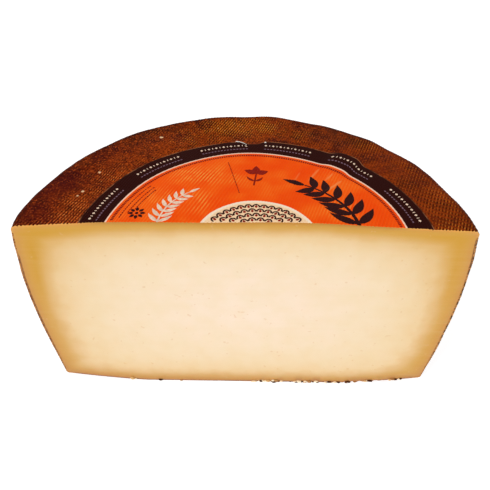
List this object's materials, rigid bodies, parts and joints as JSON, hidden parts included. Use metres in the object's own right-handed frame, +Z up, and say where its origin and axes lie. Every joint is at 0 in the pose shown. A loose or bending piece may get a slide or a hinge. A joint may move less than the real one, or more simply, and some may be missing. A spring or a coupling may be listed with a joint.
{
  "type": "sheep milk cheese",
  "caption": "Half wheel of hard sheep milk cheese, cut upright, with a brown cloth-marked rind, a pale cut face and a round paper label cut through on its crowned top.",
  "frame": {"origin": "under the middle of the part's outer size, at the level of the flat spot of its underside", "axes": "+Z up, +X along the cut face to the right as seen from the cut side, the cut face towards -Y"},
  "size_m": [0.1898, 0.089, 0.1111],
  "materials": {
    "cheese": "matte brown rind with a fine cloth mark, pale cream paste with an ochre border on the cut face",
    "label": "satin printed paper, orange with a dark ring, a thin pale line and a cream middle"
  },
  "bodies": {
    "root": {"cheese_half": "cheese", "paper_label": "label"}
  },
  "joints": []
}
